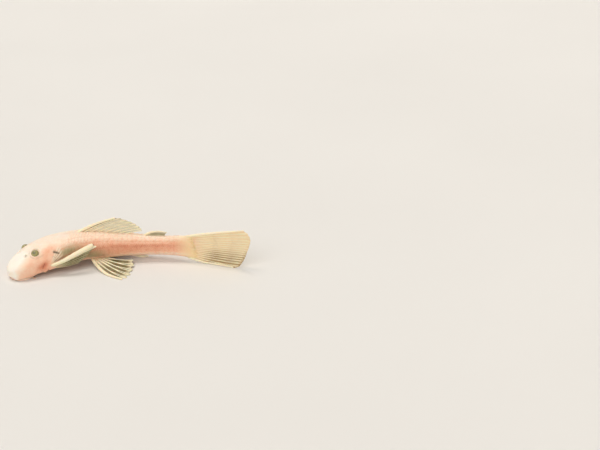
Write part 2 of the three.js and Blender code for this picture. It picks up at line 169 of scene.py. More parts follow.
def at(u, side, z):
    """Body coordinates in millimetres to places in metres."""
    u, side, z = np.broadcast_arrays(u, side, z)
    a = np.radians(heading(u))
    x = np.interp(u, steps, plan_x) + side * np.sin(a)
    y = np.interp(u, steps, plan_y) - side * np.cos(a)
    return np.stack([x, y, z], -1) * MM


def section(u, angle, out=0.0):
    """Side and height of the skin: angle 90 is the back, 0 the left flank, -90 the belly."""
    c, s = np.cos(np.radians(angle)), np.sin(np.radians(angle))
    high, low, half = top_line(u), belly_line(u), half_width(u)
    mid = mix(low, high, widest_at(u))
    rise = np.where(s > 0, high - mid, mid - low)
    flat = np.where(s > 0, 2.3, mix(3.5, 2.4, smooth(48, 62, u)))
    lift = np.where(s > 0, 1.9, flat)
    n = np.hypot(c / half, s / rise)
    side = half * np.sign(c) * np.abs(c) ** (2 / flat) + out * c / half / n
    return side, mid + rise * np.sign(s) * np.abs(s) ** (2 / lift) + out * s / rise / n


def skin_point(u, angle, out=0.0):
    return at(u, *section(np.float64(u), angle, out))


def side_angle(angle, mirror):
    """An angle of the fish's left flank, or its mirror image where mirror is -1."""
    return angle if mirror > 0 else 180 - angle


straight = np.linalg.norm(at(STANDARD_LENGTH, 0, 8) - at(0, 0, 3)) / MM
print(f"snout to tail root, straight: {straight:.1f} mm")

# %% Small helpers for meshes and materials
def mesh_object(name, points, faces, marks=None, edges=()):
    """A smooth mesh object from arrays, with named numbers and the way called lean on its points."""
    mesh = bpy.data.meshes.new(name)
    faces = faces if isinstance(faces, list) else faces.tolist()
    mesh.from_pydata(np.reshape(points, (-1, 3)).tolist(), edges, faces)
    for key, values in (marks or {}).items():
        kind, field = ("FLOAT_VECTOR", "vector") if key == "lean" else ("FLOAT", "value")
        mesh.attributes.new(key, kind, "POINT").data.foreach_set(field, np.ravel(values))
    mesh.shade_smooth()
    mesh.update()
    return into_scene(name, mesh)


def grid_faces(rows, columns, closed=True):
    """Quads over a grid of points, row by row; a closed grid joins its last column to its first."""
    across = np.arange(columns if closed else columns - 1)
    i, j = np.meshgrid(np.arange(rows - 1), across, indexing="ij")
    k = (j + 1) % columns
    corners = [i * columns + j, i * columns + k, (i + 1) * columns + k, (i + 1) * columns + j]
    return np.stack(corners, -1).reshape(-1, 4)


def face_outward(obj, columns=0):
    """Point every face outward, after filling the first and last ring of so many points."""
    work = bmesh.new()
    work.from_mesh(obj.data)
    work.verts.ensure_lookup_table()
    for ring in (work.verts[:columns], work.verts[-columns:]) if columns else ():
        bmesh.ops.triangulate(work, faces=[work.faces.new(ring)])
    bmesh.ops.recalc_face_normals(work, faces=work.faces)
    work.to_mesh(obj.data)
    work.free()
    obj.data.shade_smooth()


def finish_piece(obj, material, slot, *nodes):
    """Give a piece its material, let it ride with the fish and stand for its solids."""
    obj.data.materials.clear()
    obj.data.materials.append(material)
    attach(obj, "root")
    if nodes:
        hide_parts(*nodes)
    print(obj.name, len(obj.data.polygons), "faces")


def fill(tree, node, inputs):
    """Join or fill a node's inputs, given by name or by number."""
    for key, source in inputs.items():
        if isinstance(source, bpy.types.NodeSocket):
            tree.links.new(source, node.inputs[key])
        else:
            node.inputs[key].default_value = source


def put(tree, kind, inputs=None, **settings):
    """Add a node, set it up, join or fill its inputs, and give back its outputs."""
    node = tree.nodes.new(kind)
    for key, value in settings.items():
        setattr(node, key, value)
    fill(tree, node, inputs or {})
    return node.outputs


class Recipe:
    """A material's node tree, with short calls that add nodes and give back what they yield."""

    def __init__(self, name):
        self.material = bpy.data.materials.new(name)
        self.material.use_nodes = True
        self.tree = self.material.node_tree

    def value(self, source):
        """A name reads that number from the mesh, and a colour gets its alpha."""
        if isinstance(source, str):
            return put(self.tree, "ShaderNodeAttribute", attribute_name=source)["Fac"]
        return (*source, 1) if isinstance(source, tuple) else source

    def place(self):
        return put(self.tree, "ShaderNodeTexCoord")["Object"]

    def ramp(self, source, stops):
        colour = put(self.tree, "ShaderNodeValToRGB", {"Fac": source})["Color"]
        elements = colour.node.color_ramp.elements
        while len(elements) < len(stops):
            elements.new(0.5)
        for element, (position, tint) in zip(elements, stops):
            element.position = position
            element.color = (*tint, 1)
        return colour

    def blend(self, amount, first, second):
        inputs = {"Factor": self.value(amount), "A": self.value(first), "B": self.value(second)}
        return put(self.tree, "ShaderNodeMix", inputs, data_type="RGBA")["Result"]

    def sums(self, kind, *terms):
        inputs = {k: self.value(term) for k, term in enumerate(terms)}
        return put(self.tree, "ShaderNodeMath", inputs, operation=kind)["Value"]

    def stretch(self, source, gain, shift):
        return self.sums("MULTIPLY_ADD", source, gain, shift)

    def cells(self, scale):
        return put(self.tree, "ShaderNodeTexVoronoi", {"Scale": scale, "Vector": self.place()})["Distance"]

    def noise(self, scale, detail=3.0, roughness=0.5):
        inputs = {"Scale": scale, "Detail": detail, "Roughness": roughness, "Vector": self.place()}
        return put(self.tree, "ShaderNodeTexNoise", inputs)["Fac"]

    def relief(self, height, distance, strength, **under):
        inputs = {"Height": height, "Distance": distance, "Strength": strength, **under}
        return put(self.tree, "ShaderNodeBump", inputs)["Normal"]

    def finish(self, **inputs):
        """Join or fill the shader's own inputs, and give back the material."""
        inputs = {key.replace("_", " "): value for key, value in inputs.items()}
        fill(self.tree, self.tree.nodes["Principled BSDF"], inputs)
        return self.material


# %% [markdown]
# ## Skin colours
# The fish is pale pink and cream: blood shows through clear skin, most at the cheeks, along the
# flank and at the fin roots, while the snout is almost white and the back and belly edge are pale,
# partly from a painted highlight along the top and painted bounce light along the belly edge. Image
# textures could hold such a pattern, but the colours follow the body, so the mesh carries named
# numbers (rosy, fold, grey, fade, bony) that the material reads, and noise breaks them up. Fold is
# painted shade in creases, slits and pits, with the dark seams between plates, and grey is painted
# grey-green shade in the hollow behind the pectoral fin and on the lower flank. A cell pattern gives
# the fine grain of tiny teeth that covers every bony plate.

# %% Skin material
SNOUT_WHITE = (0.95, 0.88, 0.78)
CREAM = (0.94, 0.73, 0.56)
PINK = (0.90, 0.51, 0.335)
ROSE = (0.73, 0.28, 0.16)
BLOOD = (0.40, 0.10, 0.06)
# FOLD_SHADE and the hollow colour below are painted shade: in creases, slits and pits, and in the hollow by
# the pectoral fin.
FOLD_SHADE = (0.14, 0.105, 0.06)
HOLLOW_SHADE_GREY = (0.26, 0.265, 0.12)
RAY_CREAM = (0.98, 0.865, 0.62)
TAIL_CREAM = (0.92, 0.70, 0.41)
recipe = Recipe("pleco skin")
mottle = recipe.stretch(recipe.noise(420.0, 4.0, 0.6), 0.30, -0.15)
freckles = recipe.sums("MULTIPLY", recipe.stretch(recipe.cells(1700.0), 0.2, -0.08), "bony")
rosy = recipe.sums("ADD", recipe.sums("ADD", "rosy", mottle), freckles)
tint = recipe.ramp(rosy, [(0.0, SNOUT_WHITE), (0.25, CREAM), (0.5, PINK), (0.78, ROSE), (1.0, BLOOD)])
# grey and fold paint shade into the colour; fade is the tail's own cream.
for mark, colour in (("grey", HOLLOW_SHADE_GREY), ("fold", FOLD_SHADE), ("fade", TAIL_CREAM)):
    tint = recipe.blend(mark, tint, colour)
soft = recipe.relief(recipe.noise(900.0), 0.00012, 0.5)
grain = recipe.relief(recipe.sums("MULTIPLY", recipe.cells(3400.0), "bony"), 0.00006, 0.8, Normal=soft)
skin = recipe.finish(
    Base_Color=tint, Normal=grain, Roughness=0.46, Subsurface_Weight=0.25, Subsurface_Scale=0.0014,
    Subsurface_Radius=(1.0, 0.42, 0.28), Coat_Weight=0.12, Coat_Roughness=0.3, IOR=1.38)
print("pleco skin:", len(recipe.tree.nodes), "nodes")

# %% [markdown]
# ## Head, trunk and tail stalk as one skin
# The three solids of flesh become one closed mesh, so no cut shows. Sculpting would lose the
# sizes, so the skin is a grid instead: rings along the backbone, points round each ring. Every
# point is pushed out or in by a relief in millimetres: five rows of plates on each flank with
# raised, pointed rear edges, sutures on the skull, folds on the cheek, the gill slit and a
# socket under each eye.

# %% Plates of the flank and skull
PLATE_STEP = 0.17
PLATE_SEAM = 0.06
TOOTH_ROW = 0.95


def lag(b, angle):
    """How far the skull roof and the plates behind it sweep back."""
    steep = np.maximum(0, np.sin(np.radians(angle))) ** 1.5
    return NAPE_LAG * steep * band(b, 2, HEAD_END, HEAD_END, 50)


def flank_plates(b, tilt):
    """Relief of the five rows of plates, where their rear edges and seams lie, and their reach."""
    row = np.interp(-tilt, [-e for e in ROW_EDGES], range(len(ROW_EDGES)))
    across = row % 1
    keel = 1 - np.abs(2 * across - 1)
    reach = band(b, HEAD_END, HEAD_END + 11, 82, 88) * smooth(-50, -40, tilt)
    stagger = 0.12 * np.sin(4.1 * np.floor(row))
    along = ((b - SCUTE_CHEVRON * 1.25 * keel - HEAD_END) / SCUTE_PITCH + stagger) % 1
    rise = along ** 1.3 * smooth(1, 0.93, along) * (0.4 + 0.6 * np.sqrt(keel))
    seam = reach * bump(np.minimum(across, 1 - across), 0, 0.08)
    edge = reach * bump(along, 0.88, 0.09) * (0.35 + 0.65 * keel)
    seam = np.maximum(seam, 0.7 * reach * bump(along, 0.98, 0.05))
    return reach * (PLATE_STEP * rise + 0.05 * keel) - PLATE_SEAM * seam, edge, seam, reach


def skull_plates(b, tilt):
    """Relief of the skull's plates: wandering sutures across and along the roof of the head."""
    roof = band(b, 6.5, 9, HEAD_END - 0.4, HEAD_END + 3) * smooth(2, 16, tilt)
    wander = 0.42 * np.sin(tilt / 10 + b / 2) + 0.22 * np.sin(tilt / 4.1 + 1.7 * b)
    lines = sum(bump(b + wander, place, 0.15) for place in SKULL_PLATES)
    lines += sum(bump(tilt + 3 * np.sin(1.1 * b + place), place, 1.3) for place in (62, 38, 78))
    return -0.07 * roof * np.minimum(lines, 1), roof


# %% Folds of the cheek, gill and shoulder
def cheek_folds(b, tilt):
    """Soft relief of the cheek and gill: how deep it is, its painted shade in the creases, the gill slit
    and under the eye, and how blood-red it is.
    """
    creases = sum(deep * bump(b, 10.2 + 1.5 * k + 0.055 * tilt + 0.2 * np.sin(tilt / 5 + k), 0.26)
                  for k, deep in enumerate((0.6, 0.7, 1.5))) * bump(tilt, 2, 17)
    gill = bump(b, HEAD_END - 0.3 - 0.012 * tilt, 0.26) * smooth(-4, -22, tilt) * smooth(-86, -60, tilt)
    under_eye = bump(tilt, 41, 3) * band(b, 8.4, 9.4, 11.6, 12.8)
    lid = bump(b, HEAD_END - 1.4, 1.0) * smooth(10, -5, tilt) * 0.22
    red = np.clip(0.66 * bump(b, 13.4, 2.8) * bump(tilt, 9, 12) + 0.4 * gill + 0.1 * creases, 0, 1)
    # Painted shade in the creases, the gill slit and the dent under the eye.
    dark = np.clip(0.06 * creases + 0.4 * gill + 0.14 * under_eye, 0, 1)
    return lid - 0.2 * creases - 0.5 * gill - 0.06 * under_eye, dark, red


def shoulder_folds(b, tilt):
    """The slit over the pectoral fin, and streaks that run together at the fin's root, with painted shade
    in the slit, its pits, a groove along the spine's upper edge, the gaps between streaks and the hollow at
    the pelvic fin's root.
    """
    slit_width = mix(3.1, 1.8, smooth(17, 22.5, b))
    slit = bump(tilt, 39 - 2.5 * (b - 17.3), slit_width) * band(b, 16.6, 17.9, 21, 23)
    pits = sum(bump(np.hypot(b - pit_b, (tilt - pit_tilt) / 6), 0, 0.22)
               for pit_b, pit_tilt in ((18.2, 25), (19.7, 20)))
    ahead, above = b - 17.2, tilt * 0.17
    distance, way = np.hypot(ahead, above), np.degrees(np.arctan2(above, ahead))
    sector = band(distance, 1.2, 3, 6.5, 9.5) * band(way, 6, 16, 68, 84)
    streaks = sector * (0.5 + 0.5 * np.cos(2 * np.pi * (way - 0.8 * distance) / 17))
    # Painted shade in the gaps between the streaks.
    shaded_gaps = sector * bump((way - 0.8 * distance) % 17, 8.5, 3)
    # A groove along the pectoral spine's upper edge, darkened as the spine's painted shadow.
    shadow_groove = bump(tilt, 9, 4) * band(b, 19, 20.5, 25, 29)
    mound = bump(b, 19.2, 2.2) * bump(tilt, -8, 22) * 0.3
    # Painted shadow on the lower flank at the pelvic fin's root.
    armpit_shadow = bump(b, 46.5, 4.5) * bump(tilt, -20, 12)
    # Painted shade in the slit and its pits, the groove and the hollow at the pelvic root.
    dark = np.clip(slit + 0.5 * pits + 0.5 * shadow_groove + 0.4 * armpit_shadow, 0, 1)
    return mound - 0.6 * slit - 0.25 * pits + 0.1 * streaks - 0.15 * shadow_groove, dark, streaks, shaded_gaps


# %% Where eyes and nostrils sit
SOCKET_DEPTH = 0.45


def eye_and_nostril_dents(points, dark):
    """Sockets, brows and nostril pits as relief by distance from each centre, and painted shade in the
    crease before each eye and in each nostril pit.
    """
    relief = np.zeros(points.shape[:-1])
    for mirror in SIDES.values():
        angle = side_angle(EYE["angle"], mirror)
        centre = skin_point(EYE["u"], angle)
        d = np.linalg.norm(points - centre, axis=-1) / MM
        forward = unit(skin_point(EYE["u"] - 1, angle) - centre)
        inward = unit(skin_point(EYE["u"], 90) - centre)
        way = (points - centre) / MM / np.maximum(d, 0.01)[..., None]
        crease = bump(d, 3.0, 0.18) * smooth(0.4, 0.85, way @ forward)
        brow = (0.14 + 0.42 * smooth(0.1, 1, way @ inward)) * bump(d, 2.5, 0.9)
        relief += brow - SOCKET_DEPTH * smooth(1.95, 1.5, d) - 0.18 * crease
        # Painted shade in the crease before the eye.
        dark = np.maximum(dark, 0.4 * crease)
        nostril = skin_point(NOSTRIL["u"], side_angle(NOSTRIL["angle"], mirror))
        d = np.linalg.norm(points - nostril, axis=-1) / MM
        relief += 0.12 * bump(d, 0, 1.6) - 0.75 * smooth(0.62, 0.25, d)
        # Painted shade in the nostril pit.
        dark = np.maximum(dark, 0.6 * smooth(0.55, 0.2, d))
    return relief, dark


# %% The skin's grid
RINGS = 384
AROUND = 232
SNOUT_RINGS = 26


def skin_grid():
    """Body coordinates of every point, with the named numbers that the material reads."""
    tip = 0.04 + 3.0 * np.linspace(0, 1, SNOUT_RINGS) ** 2
    rings = np.concatenate([tip[:-1], np.linspace(tip[-1], STANDARD_LENGTH, RINGS - SNOUT_RINGS)])
    b, angle = np.meshgrid(rings, np.linspace(90, -270, AROUND, endpoint=False), indexing="ij")
    tilt = np.degrees(np.arcsin(np.clip(np.sin(np.radians(angle)), -1, 1)))
    plates, edge, seam, bony = flank_plates(b, tilt)
    skull, roof = skull_plates(b, tilt)
    cheek, dark, red = cheek_folds(b, tilt)
    # slit carries all of the shoulder's painted shade: the slit, its pits, the groove and the pelvic-root
    # hollow.
    shoulder, slit, streaks, shaded_gaps = shoulder_folds(b, tilt)
    margin = bump(tilt, -44, 14) * band(b, 0.2, 1.6, 7, 12)
    chin = smooth(-8, -50, tilt) * smooth(5, 1.5, b)
    relief = plates + skull + cheek + shoulder + 0.2 * margin
    u = b + lag(b, angle)
    side, z = section(u, angle, relief)
    dents, dark = eye_and_nostril_dents(at(u, side, z), np.maximum(dark, slit))
    side, z = section(u, angle, relief + dents)
    z = z - 0.5 * margin - 0.45 * chin
    marks = {
        "rosy": rosy_map(b, tilt, seam, red) - 0.26 * streaks,
        # fold: painted shade in creases, slits and pits, with the dark seams between plates.
        "fold": np.clip(dark + 0.06 * seam, 0, 1),
        "bony": np.clip(bony + 0.4 * roof, 0, 1),
        "spiny": edge,
        # grey: painted shade in the hollow by the pectoral fin and in the gaps between the shoulder's
        # streaks.
        "grey": np.maximum(hollow_shade_map(b, tilt) * (1 - 0.6 * streaks), 0.42 * shaded_gaps),
    }
    return u, side, z, marks


def hollow_shade_map(b, tilt):
    """Painted grey-green shade: in the hollow that the folded pectoral fin covers, and on the lower flank
    between the pectoral fin's tip and the pelvic fin.
    """
    above = 0.8 * bump(b, 28, 8.5) * bump(tilt, 25, 15) * smooth(17, 19, b)
    below = 0.8 * bump(b, 42, 7) * bump(tilt, -9, 16)
    return np.minimum(above + below, 1)


def rosy_map(b, tilt, seam, red):
    """How rosy the skin is: white snout, pink flank and cheek, a pale back and belly edge, both partly
    painted light: a highlight along the top and bounce light along the belly edge.
    """
    flank = 0.24 * bump(tilt, 8, 24) * smooth(22, 38, b) * (1 - 0.35 * smooth(70, 87, b))
    flank += 0.09 * bump(tilt, 19, 4) * band(b, 46, 56, 76, 84)
    cheek = 0.16 * bump(b, 13.6, 4.5) * bump(tilt, -14, 24)
    cheek += 0.2 * bump(b, 14, 2.6) * bump(tilt, 50, 15)
    # The back is paler, partly its own colour and partly a painted highlight along the top.
    back = -0.17 * smooth(25, 70, tilt) - 0.09 * smooth(52, 80, tilt) * smooth(34, 24, b)
    muzzle = smooth(6.6, -2.2, b - 0.06 * (tilt - 25)) * smooth(-85, -40, tilt)
    snout = -0.44 * np.maximum(muzzle, 0.9 - 0.9 * smooth(0.8, 2.8, b))
    # The belly edge is paler, partly its own cream and partly painted bounce light from the floor; the
    # underside is a little rosier.
    belly = -0.14 * bump(tilt, -38, 12) * smooth(48, 60, b) + 0.1 * smooth(-50, -80, tilt)
    hatch = 0.07 * np.sin(2 * np.pi * (b + tilt / 18) / TOOTH_ROW)
    hatch *= bump(tilt, 16, 20) * band(b, 34, 42, 80, 86)
    return 0.42 + flank + cheek + back + snout + belly + hatch + 0.06 * seam + 0.55 * red


# %% Close the snout and let the tail stalk run out over the fin rays
STALK_RINGS = 14
STALK_REACH = (3.2, 6.4)
TAIL_LENGTH = 120
TAIL_WAVE = 0.55
TAIL_RAYS = 16


def with_ends(u, side, z, marks):
    """Add shrinking rings in front, and a thinning fan of flesh behind with a wavy edge."""
    shrink = np.array([0.05, 0.35, 0.65, 0.88])[:, None]
    centre = z[0].mean()
    front = (u[0] - 0.1 * np.sqrt(1 - shrink**2), side[0] * shrink,
             centre + (z[0] - centre) * shrink)
    low = (z[-1].max() - z[-1]) / np.ptp(z[-1])
    reach = mix(*STALK_REACH, low) + 0.8 * np.cos(2 * np.pi * (TAIL_RAYS - 1) * low)
    k = np.linspace(0, 1, STALK_RINGS + 1)[1:, None]
    middle = (z[-1].max() + z[-1].min()) / 2
    wave = TAIL_WAVE * np.sin(2 * np.pi * low) * k * reach / (TAIL_LENGTH - STANDARD_LENGTH)
    rear = (u[-1] + reach * k, side[-1] * np.cos(k * np.pi / 2 * 0.993) ** 0.9 + wave,
            middle + (z[-1] - middle) * (1 + 0.1 * k))
    whole = [np.concatenate(parts) for parts in zip(front, (u, side, z), rear)]
    grown = {}
    for key, values in marks.items():
        first, last = np.repeat(values[:1], len(shrink), 0), np.repeat(values[-1:], STALK_RINGS, 0)
        grown[key] = np.concatenate([first, values, last])
    grown["fade"] = smooth(82, 92.5, whole[0])
    return whole, grown


whole, marks = with_ends(*skin_grid())
body_points = at(*whole)
marks["lean"] = unit(np.gradient(body_points, axis=0))
body = mesh_object("skin", body_points, grid_faces(len(body_points), AROUND)[:, ::-1], marks)
face_outward(body, AROUND)
finish_piece(body, skin, "skin", "head", "trunk", "tail")

# %% [markdown]
# ## Eyelids and nostrils
# A pale rim of skin holds each eye, and each nostril is a pit, darkened by painted shade, with a
# raised white collar and a small flap. They are lofted rings that follow the head's surface, so
# they sit on it at any place.


# %% Rings laid on the skin
RING_POINTS = 72


def ring_on_skin(name, u, angle, profile, flap, flap_way, rosy):
    """A closed collar lofted through (radius, height) pairs; flap raises it on one side."""
    along = np.linalg.norm(skin_point(u + 0.5, angle) - skin_point(u - 0.5, angle)) / MM
    across = np.linalg.norm(skin_point(u, angle + 1) - skin_point(u, angle - 1)) / MM / 2
    turns = full_turn(RING_POINTS)
    rows = []
    for radius, height in profile:
        lift = flap * max(height, 0) * smooth(-0.1, 1, np.cos(turns - flap_way))
        r = radius * (1 + 0.02 * np.sin(9 * turns)) - 0.5 * lift
        ring_u, ring_angle = u + r * np.cos(turns) / along, angle + r * np.sin(turns) / across
        rows.append(skin_point(ring_u, ring_angle, height + lift))
    count = RING_POINTS * len(profile)
    faces = grid_faces(len(profile) + 1, RING_POINTS) % count
    # Painted shade at the bottom of a deep, narrow collar: the nostril's pit.
    dark = [0.6 if height < -0.2 and radius < 0.7 else 0.0 for radius, height in profile]
    marks = {"rosy": np.full(count, rosy), "fold": np.repeat(dark, RING_POINTS),
             **dict.fromkeys(("bony", "grey", "fade"), np.zeros(count))}
    ring = mesh_object(name, rows, faces, marks)
    face_outward(ring)
    return ring


EYELID = [(1.86, -0.5), (1.86, -0.1), (1.9, 0.06), (1.97, 0.15), (2.1, 0.19), (2.28, 0.13),
          (2.48, 0.02), (2.66, -0.2), (2.2, -0.6)]
NOSTRIL_COLLAR = [(0.34, -0.55), (0.40, -0.1), (0.47, 0.22), (0.6, 0.36), (0.78, 0.36), (0.94, 0.2),
                  (1.1, 0.02), (1.25, -0.2), (0.8, -0.55)]
for side_name, mirror in SIDES.items():
    lid = ring_on_skin(f"eyelid_{side_name}", EYE["u"], side_angle(EYE["angle"], mirror), EYELID,
                       flap=2.0, flap_way=mirror * np.pi / 2, rosy=0.3)
    finish_piece(lid, skin, "skin", "head")
    collar = ring_on_skin(f"nostril_{side_name}", NOSTRIL["u"], side_angle(NOSTRIL["angle"], mirror),
                          NOSTRIL_COLLAR, flap=0.8, flap_way=0, rosy=0.1)
    finish_piece(collar, skin, "skin", "head")

# %% [markdown]
# ## Eyes
# The eyes are small, set high on the head and turned a little forward. They are grey-green with
# a dark pupil, into which a lobe of the iris hangs, as in all fishes of this family. Each is a
# ball whose points carry their distance from the eye's axis and whether they lie in the pupil,
# and the material turns these into iris, ring and pupil. A clear coat gives the wet gleam.

# %% Eye material and balls
PUPIL = (0.14, 0.135, 0.055)
IRIS_DARK = (0.23, 0.185, 0.065)
IRIS_LIGHT = (0.41, 0.37, 0.15)
EYE_RING = (0.80, 0.70, 0.52)
EYE_FORWARD = 0.5
EYE_OUTWARD = 0.16
EYE_ROWS = 44
EYE_COLUMNS = 56
recipe = Recipe("pleco eye")
streaks = recipe.stretch(recipe.noise(1800.0, 4.0), 0.14, -0.07)
reach = recipe.sums("ADD", "axis_distance", streaks)
iris = recipe.ramp(reach, [(0.26, IRIS_DARK), (0.5, IRIS_LIGHT), (0.88, IRIS_DARK), (0.97, EYE_RING)])
tint = recipe.blend(recipe.sums("MULTIPLY", "pupil", 0.92), iris, PUPIL)
eye_material = recipe.finish(Base_Color=tint, Roughness=0.25, Coat_Weight=1.0, Coat_Roughness=0.04, IOR=1.4)


def eyeball(side_name, mirror):
    """A ball turned to the eye's axis, with a slight bulge for the cornea."""
    angle = side_angle(EYE["angle"], mirror)
    surface, centre = skin_point(EYE["u"], angle), skin_point(EYE["u"], angle, -EYE["sink"])
    outward = unit(skin_point(EYE["u"], angle, 2.0) - centre)
    forward = unit(skin_point(EYE["u"] - 1, angle) - surface)
    sideways = unit(skin_point(EYE["u"], angle - 20 * mirror) - surface)
    gaze = unit(outward + EYE_FORWARD * forward + EYE_OUTWARD * sideways)
    turned = Vector(gaze).to_track_quat("Z", "Y").to_matrix()
    polar, around = np.meshgrid(np.linspace(0.02, np.pi - 0.02, EYE_ROWS), full_turn(EYE_COLUMNS),
                                indexing="ij")
    x, y = np.sin(polar) * np.cos(around), np.sin(polar) * np.sin(around)
    local = np.stack([x, y, np.cos(polar)], -1)
    radius = EYE["radius"] * MM * (1 + 0.05 * bump(polar, 0, 0.5))
    places = (local * radius[..., None]) @ np.array(turned).T + centre
    front = polar < np.pi / 2
    distance = np.where(front, np.hypot(x, y), 1.0)
    lobe = smooth(0.19, 0.13, np.hypot(x / 0.9, (y - 0.2) / 1.3))
    pupil = np.where(front, smooth(0.36, 0.3, distance) * (1 - 0.75 * lobe), 0)
    ball = mesh_object(f"{side_name}_eye", places, grid_faces(EYE_ROWS, EYE_COLUMNS),
                       {"axis_distance": distance, "pupil": pupil})
    face_outward(ball, EYE_COLUMNS)
    finish_piece(ball, eye_material, "iris", f"eye_{side_name}")


for side_name, mirror in SIDES.items():
    eyeball(side_name, mirror)

# %% [markdown]
# ## Fin colours
# A catfish fin is a thin clear membrane stretched over bony rays. Where it is thin the membrane is
# painted olive, browner in the tail fin, as painted shade for the dark seen through it, and it is
# cream near the body. The rays are cream too, with a fine dark line at each joint, and the
# pectoral rays are dimmed to olive by painted shade.

# %% Fin materials
CLEAR_PALE = (0.99, 0.91, 0.66)
TAIL_PALE = (0.98, 0.75, 0.45)
# Painted shade colours for the dark seen through thin membranes.
MEMBRANE_SHADE_OLIVE = (0.155, 0.12, 0.04)
TAIL_SHADE_BROWN = (0.30, 0.165, 0.045)
FIN_ROOT = (0.97, 0.80, 0.58)
TAIL_ROOT = (0.89, 0.64, 0.38)
RAY_JOINT = (0.74, 0.57, 0.35)
# Painted shade on the rays, most on the pectoral fin.
RAY_SHADE_OLIVE = (0.42, 0.36, 0.19)


def membrane_recipe(name, alpha, pale, dark=MEMBRANE_SHADE_OLIVE, root=FIN_ROOT):
    recipe = Recipe(name)
    cloudy = recipe.stretch(recipe.noise(300.0, 4.0), 0.3, -0.15)
    # thin mixes in the dark colour as painted shade.
    tint = recipe.blend(recipe.sums("ADD", "thin", cloudy), pale, dark)
    tint = recipe.blend("root", tint, root)
    return recipe.finish(
        Base_Color=tint, Normal=recipe.relief(recipe.noise(2200.0, 2.0), 0.00004, 0.5), Roughness=0.35,
        Alpha=alpha, Coat_Weight=0.2, Coat_Roughness=0.2, IOR=1.36)


clear_membrane = membrane_recipe("clear fin membrane", 0.7, CLEAR_PALE)
olive_membrane = membrane_recipe("olive fin membrane", 0.94, CLEAR_PALE)
cloudy_membrane = membrane_recipe("cloudy tail membrane", 0.92, TAIL_PALE, TAIL_SHADE_BROWN, TAIL_ROOT)
recipe = Recipe("fin ray")
wave = recipe.sums("SINE", recipe.sums("MULTIPLY", "out", 10.0))
line = recipe.sums("POWER", recipe.sums("MAXIMUM", wave, 0.0), 8.0)
joint = recipe.sums("MULTIPLY", line, recipe.stretch("spiny", -0.4, 0.4))
# ray_shade dims a ray to olive as painted shade.
tint = recipe.blend("ray_shade", recipe.blend(joint, RAY_CREAM, RAY_JOINT), RAY_SHADE_OLIVE)
ray_material = recipe.finish(
    Base_Color=recipe.blend("flesh", tint, PINK), Roughness=0.45, Subsurface_Weight=0.2,
    Normal=recipe.relief(recipe.noise(2600.0, 2.0), 0.00006, 0.6), Subsurface_Scale=0.0008, IOR=1.4)

# %% [markdown]
# ## Rods and skin teeth with Geometry Nodes
# Fin rays, spines and bristles are all tapered rods along a path, and spines and plates carry
# tiny teeth that lean back. Geometry Nodes suit both: one tree sweeps a circle along every path
# at the thickness kept on its points, and a second set of nodes sprinkles cones where the number
# called spiny is high, turned along the direction called lean. The seed is fixed, so the fish
# grows the same teeth each time.


# %% Tree helpers
def new_tree(name, numbers):
    """An empty geometry tree with named number inputs, what it starts from, and its end."""
    tree = bpy.data.node_groups.new(name, "GeometryNodeTree")
    tree.interface.new_socket("Geometry", in_out="INPUT", socket_type="NodeSocketGeometry")
    for label, value in numbers.items():
        kind = "NodeSocketInt" if isinstance(value, int) else "NodeSocketFloat"
        tree.interface.new_socket(label, in_out="INPUT", socket_type=kind).default_value = value
    tree.interface.new_socket("Geometry", in_out="OUTPUT", socket_type="NodeSocketGeometry")
    return tree, tree.nodes.new("NodeGroupInput").outputs, tree.nodes.new("NodeGroupOutput")


def named(tree, name, kind="FLOAT"):
    return put(tree, "GeometryNodeInputNamedAttribute", {"Name": name}, data_type=kind)["Attribute"]


def sprinkle_teeth(tree, start, surface):
    """Nodes that stand small cones on a surface where it is spiny, leaning along lean."""
    points = put(tree, "GeometryNodeDistributePointsOnFaces", {
        "Mesh": surface, "Distance Min": start["Spacing"], "Density Max": 3.0e7,
        "Density Factor": named(tree, "spiny"), "Seed": start["Seed"]}, distribute_method="POISSON")
    lean = put(tree, "ShaderNodeVectorMath", {"Vector": named(tree, "lean", "FLOAT_VECTOR"), "Scale": 1.5},
               operation="SCALE")
    way = put(tree, "ShaderNodeVectorMath", {0: lean["Vector"], 1: points["Normal"]}, operation="ADD")
    turn = put(tree, "FunctionNodeAlignRotationToVector", {"Vector": way["Vector"]}, axis="Z")
    cone = put(tree, "GeometryNodeMeshCone", {
        "Vertices": 5, "Radius Top": 0.0, "Radius Bottom": start["Tooth Width"],
        "Depth": start["Tooth Length"]})
    size = put(tree, "FunctionNodeRandomValue", {"Seed": start["Seed"], 2: 0.7, 3: 1.25},
               data_type="FLOAT")
    place = put(tree, "GeometryNodeInputPosition")
    height = put(tree, "ShaderNodeSeparateXYZ", {"Vector": place["Position"]})
    off_floor = put(tree, "FunctionNodeCompare", {0: height["Z"], 1: start["Lowest Tooth"]},
                    data_type="FLOAT", operation="GREATER_THAN")
    teeth = put(tree, "GeometryNodeInstanceOnPoints", {
        "Points": points["Points"], "Selection": off_floor["Result"], "Instance": cone["Mesh"],
        "Rotation": turn["Rotation"], "Scale": size[1]})
    return teeth["Instances"]


def end_tree(tree, end, geometry, material):
    """Every tree ends as one real mesh with its material set."""
    real = put(tree, "GeometryNodeRealizeInstances", {"Geometry": geometry})["Geometry"]
    paint = put(tree, "GeometryNodeSetMaterial", {"Geometry": real, "Material": material})
    fill(tree, end, {"Geometry": paint["Geometry"]})
    return tree


